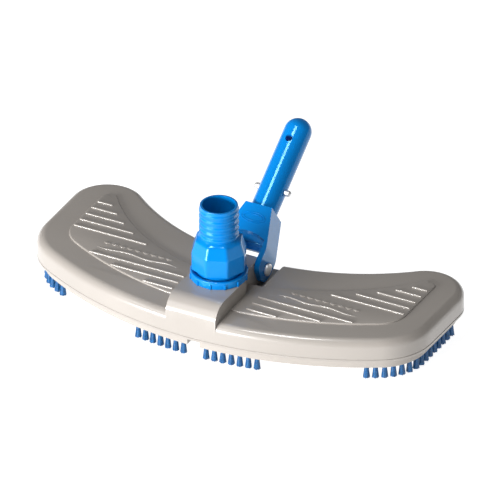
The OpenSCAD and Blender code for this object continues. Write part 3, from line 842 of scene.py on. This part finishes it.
half = [(ARM_OUT, -14.0), (ARM_OUT, YOKE_BEND - 4)]
for i in range(1, 5):
    half.append((ARM_OUT - 0.28 * (i / 4) ** 2 * 4, YOKE_BEND - 4 + 2 * i))
half.append((SPIGOT_R + 0.6, YOKE_TOP))
front_outline = half + [(-x, z) for x, z in reversed(half)]
heel = [math.radians(a) for a in range(6, 90, 7)]
toe = [math.radians(a) for a in range(10, 91, 8)]
side_outline = [(-YOKE_BACK, YOKE_TOP), (-YOKE_BACK, 2.0)]
side_outline += [(-FOOT_R * math.cos(a), -FOOT_R * math.sin(a)) for a in heel]
side_outline += [(0.0, -FOOT_R), (3.4, -12.4)]
side_outline += [(TOE_FRONT + TOE_R * math.sin(a), -TOE_R * math.cos(a)) for a in toe]
side_outline.append((YOKE_FRONT, YOKE_TOP))
yoke = extrude("yoke", front_outline, seen_from_front, -FAR, FAR)
combine(yoke, extrude("side_cut", side_outline, seen_from_side, -FAR, FAR), "INTERSECT")
print("yoke from two views:", len(yoke.data.polygons), "faces")

# %% Cut the gap between the yoke's arms
ARCH_R, ARCH_TOP, BACK_TOP = 43.5, 27.0, 19.0
GAP_LOW = -30.0
arch_half = math.degrees(math.asin(ARM_IN / ARCH_R))
arch = arc(0, ARCH_TOP - ARCH_R, ARCH_R, 90 - arch_half, 90 + arch_half)
gap = [(ARM_IN, GAP_LOW)] + arch + [(-ARM_IN, GAP_LOW)]
combine(yoke, extrude("gap_cut", gap, seen_from_front, -9.5, FAR), "DIFFERENCE")
back_gap = [(ARM_IN, GAP_LOW), (ARM_IN, BACK_TOP), (-ARM_IN, BACK_TOP), (-ARM_IN, GAP_LOW)]
combine(yoke, extrude("back_cut", back_gap, seen_from_front, -FAR, -9.4), "DIFFERENCE")
bevel(yoke, 1.0, 3, 40)
flatten_shading(smooth(yoke, 30))
print("yoke:", len(yoke.data.polygons), "faces")

# %% [markdown]
# The spigot is a lathe shape with a domed end, bored from below. A hole on each side lets a spring
# button through, and one larger hole crosses it near the end, for a cord or a locking pin. These are
# booleans again, with a fine bevel so that each hole has a bright rim.

# %% Model the spigot
HANDLE_LEN = 146.36
TUBE_R, TUBE_END = 11.0, 118.0
BUTTON_Z, BUTTON_HOLE_R = 81.0, 3.45
TIP_HOLE_Z, TIP_HOLE_R = 133.0, 3.75


def on_spigot(x, y, z):
    """A point across, to the front of and along the spigot's own axis."""
    return handle_point(x, SPIGOT_FRONT + y, z)


def across_spigot(r, z):
    """A cutter for a hole from side to side."""
    return lathe("hole", [(r, -FAR), (r, FAR)], lambda a, b, c: on_spigot(c, a, z + b), 40)


def through_spigot(r, z):
    """A cutter for a hole from front to back."""
    return lathe("hole", [(r, -FAR), (r, FAR)], lambda a, b, c: on_spigot(a, c, z + b), 48)


profile = [(0.01, 30.0), (SPIGOT_R, 30.0), (SPIGOT_R, 80.0), (SPIGOT_R, HANDLE_LEN)]
for i in range(1, 16):
    turn = math.radians(90 * i / 15.2)
    profile.append((SPIGOT_R * math.cos(turn), HANDLE_LEN + SPIGOT_R * math.sin(turn)))
spigot = lathe("pole_spigot", profile, on_spigot)
tube_bore = lathe("bore", [(TUBE_R, 20.0), (TUBE_R, TUBE_END)], on_spigot, 72)
combine(spigot, tube_bore, "DIFFERENCE")
combine(spigot, across_spigot(BUTTON_HOLE_R, BUTTON_Z), "DIFFERENCE")
combine(spigot, through_spigot(TIP_HOLE_R, TIP_HOLE_Z), "DIFFERENCE")
bevel(spigot, 0.45, 2, 50)
smooth(spigot, 30)
print("spigot:", len(spigot.data.polygons), "faces")

# %% [markdown]
# The yoke's front carries a small raised mark, as moulded handles do. Here it is a plain double oval.
# Each oval is a closed loft of one flat-topped section that is carried round the ellipse. It stands
# half a millimetre proud, which is enough to catch a line of light.

# %% Add the double oval and finish the handle
OVAL_Z, OVAL_STEPS = 42.0, 72
OVAL_SECTION = ((-0.45, -0.3), (0.45, -0.3), (0.45, 0.25), (0.2, 0.5), (-0.2, 0.5), (-0.45, 0.25))
emblem = []
for width, height in ((13.0, 5.4), (10.2, 3.4)):
    rings = []
    for i in range(OVAL_STEPS):
        a = 2 * math.pi * i / OVAL_STEPS
        rings.append([handle_point((width + u) * math.cos(a), YOKE_FRONT + w,
                                   OVAL_Z + (height + u) * math.sin(a)) for u, w in OVAL_SECTION])
    emblem.append(smooth(loft("emblem_ring", rings, closed=True), 40))
handle = join("handle_body", [yoke, spigot] + emblem)
finish_piece(handle, blue_finish, "handle", "blue_plastic", "handle")

# %% [markdown]
# ## Pin and buttons
#
# The hinge pin has a broad domed head on the right arm and a groove for its clip at the other end.
# The spring buttons are studs with domed ends. All three were turned on a lathe as real parts, so
# they are lathe shapes here too, about an axis that runs across the handle.

# %% Model the pin and the buttons


def about_pin(a, b, c):
    """A point round the pin's own axis."""
    return handle_point(c, a, b)


PIN_R = 4.0
profile = [(0.01, -30.1), (3.6, -30.1), (PIN_R, -29.7), (PIN_R, -27.8), (3.2, -27.8), (3.2, -26.5),
           (PIN_R, -26.5), (PIN_R, 26.55), (6.1, 26.55), (6.5, 26.95), (6.5, 28.3), (6.35, 28.8),
           (5.9, 29.2), (5.0, 29.4), (2.5, 29.52), (0.01, 29.55)]
pin = smooth(lathe("hinge_pin_steel", profile, about_pin, 64), 30)
finish_piece(pin, steel_finish, "handle", "stainless", "hinge_pin")
BUTTON_R, BUTTON_END = 3.25, 20.5
dome = [math.radians(a) for a in range(9, 90, 9)]
stud = [(0.01, 9.35), (3.0, 9.35), (BUTTON_R, 9.6), (BUTTON_R, BUTTON_END - BUTTON_R)]
stud += [(BUTTON_R * math.cos(a), BUTTON_END - BUTTON_R + BUTTON_R * math.sin(a)) for a in dome]
for word, side in (("right", 1), ("left", -1)):
    button = lathe(f"button_stud_{word}", stud,
                   lambda a, b, c: on_spigot(side * c, a, BUTTON_Z + b), 40)
    finish_piece(smooth(button, 40), steel_finish, f"button_{word}", "stainless", f"button_{word}")

# %% [markdown]
# ## Finishes for the CAD parts that stay
#
# The base plate, screws, ballast, washer, seal, clip, spring and anchors already have their true
# shape, so they keep their CAD mesh and only get a finish. Modelling them again would add nothing
# that anyone could see.

# %% Give the remaining parts their finishes
kept = {
    "base_plate": plate_finish, "ballast_left": iron_finish, "ballast_right": iron_finish,
    "base_screws": steel_finish, "tuft_anchors": wire_finish, "swivel_washer": washer_finish,
    "swivel_seal": rubber_finish, "pin_clip": steel_finish, "button_spring": steel_finish,
}
for name, material in kept.items():
    node = frame["nodes"][name]
    node.data.materials.clear()
    node.data.materials.append(material)
print("kept CAD parts:", ", ".join(kept))

# %% [markdown]
# ## Floor, light and camera
#
# A product view wants a floor that all but disappears. A curved sweep is the usual way, but a plain
# pale floor with a slight glow of its own does the same here, and keeps soft shadows under the
# tufts.

# %% Make the floor and the world
FLOOR_REACH, FLOOR_DROP = 4, 0.0005
FLOOR_GLOW, SKY_STRENGTH = 0.9, 0.16
corners = [(FLOOR_REACH * x, FLOOR_REACH * y, 0) for x, y in ((-1, -1), (1, -1), (1, 1), (-1, 1))]
floor = new_object("floor", corners, [(0, 1, 2, 3)])
floor.location.z = -FLOOR_DROP
floor_material, tree, principled, coords = shader("pale_floor")
tree.links.new(ramp(tree, noise(tree, coords, 3.0), 0.3, 0.7, grey(0.48), grey(0.5)),
               principled.inputs["Base Color"])
principled.inputs["Roughness"].default_value = 0.9
principled.inputs["Emission Color"].default_value = (1.0, 1.0, 1.0, 1.0)
principled.inputs["Emission Strength"].default_value = FLOOR_GLOW
floor.data.materials.append(floor_material)
world = bpy.data.worlds.new("studio")
bpy.context.scene.world = world
world.use_nodes = True
sky = world.node_tree.nodes["Background"]
sky.inputs["Color"].default_value = (1, 1, 1, 1)
sky.inputs["Strength"].default_value = SKY_STRENGTH
bpy.context.scene.view_settings.view_transform = "Standard"
print("floor glow", FLOOR_GLOW, " sky strength", SKY_STRENGTH)

# %% [markdown]
# Gloss shows the shape of a lamp, so soft rectangles are used, never bare points. A long low one at
# the front left whitens the front wall, and a weaker one above it fills the deck. A small one
# overhead draws the bright strip along the spigot, and a faint one on the right lifts the far end.

# %% Hang the lights
DECK_AIM = (0, 0, 0.04)


def softbox(name, place, aim, size, power):
    """A soft rectangular lamp at a place, turned towards an aim."""
    data = bpy.data.lights.new(name, "AREA")
    data.shape = "RECTANGLE"
    data.size, data.size_y = size
    data.energy = power
    obj = bpy.data.objects.new(name, data)
    obj.location = place
    obj.rotation_euler = (Vector(aim) - Vector(place)).to_track_quat("-Z", "Y").to_euler()
    bpy.context.scene.collection.objects.link(obj)
    print(f"{name}: {power} W")


softbox("front_left_low", (-0.9, -2.2, 0.33), DECK_AIM, (1.5, 0.4), 100)
softbox("front_left_high", (-0.9, -1.35, 1.3), DECK_AIM, (1.3, 0.7), 8)
softbox("overhead", (-0.10, -0.32, 1.36), (0, 0.1, 0.1), (0.38, 0.26), 6.5)
softbox("right_side", (2.0, -0.7, 0.5), DECK_AIM, (1.6, 0.9), 2.5)

# %% [markdown]
# The camera looks from the front right and from above. It has no perspective, so parallel edges stay
# parallel, as they nearly do through a long lens. A perspective camera far away would look the same,
# but one width in metres is easier to set than a distance and a lens.

# %% Set the camera
AZIMUTH, ELEVATION = math.radians(27.7), math.radians(31.2)
VIEW_WIDTH, VIEW_DISTANCE = 0.4934, 2.0
towards = Vector((math.sin(AZIMUTH) * math.cos(ELEVATION),
                  -math.cos(AZIMUTH) * math.cos(ELEVATION), math.sin(ELEVATION)))
right = Vector((math.cos(AZIMUTH), math.sin(AZIMUTH), 0))  # the view's right
up = towards.cross(right)  # the view's up
centre = head_point(0, 0, 48) + right * 0.0307 + up * 0.0395
camera = bpy.data.cameras.new("camera")
camera.type = "ORTHO"
camera.ortho_scale = VIEW_WIDTH
viewer = bpy.data.objects.new("camera", camera)
viewer.location = centre + towards * VIEW_DISTANCE
viewer.rotation_euler = towards.to_track_quat("Z", "Y").to_euler()
bpy.context.scene.collection.objects.link(viewer)
bpy.context.scene.camera = viewer
print("camera looks along", [round(-v, 3) for v in towards])
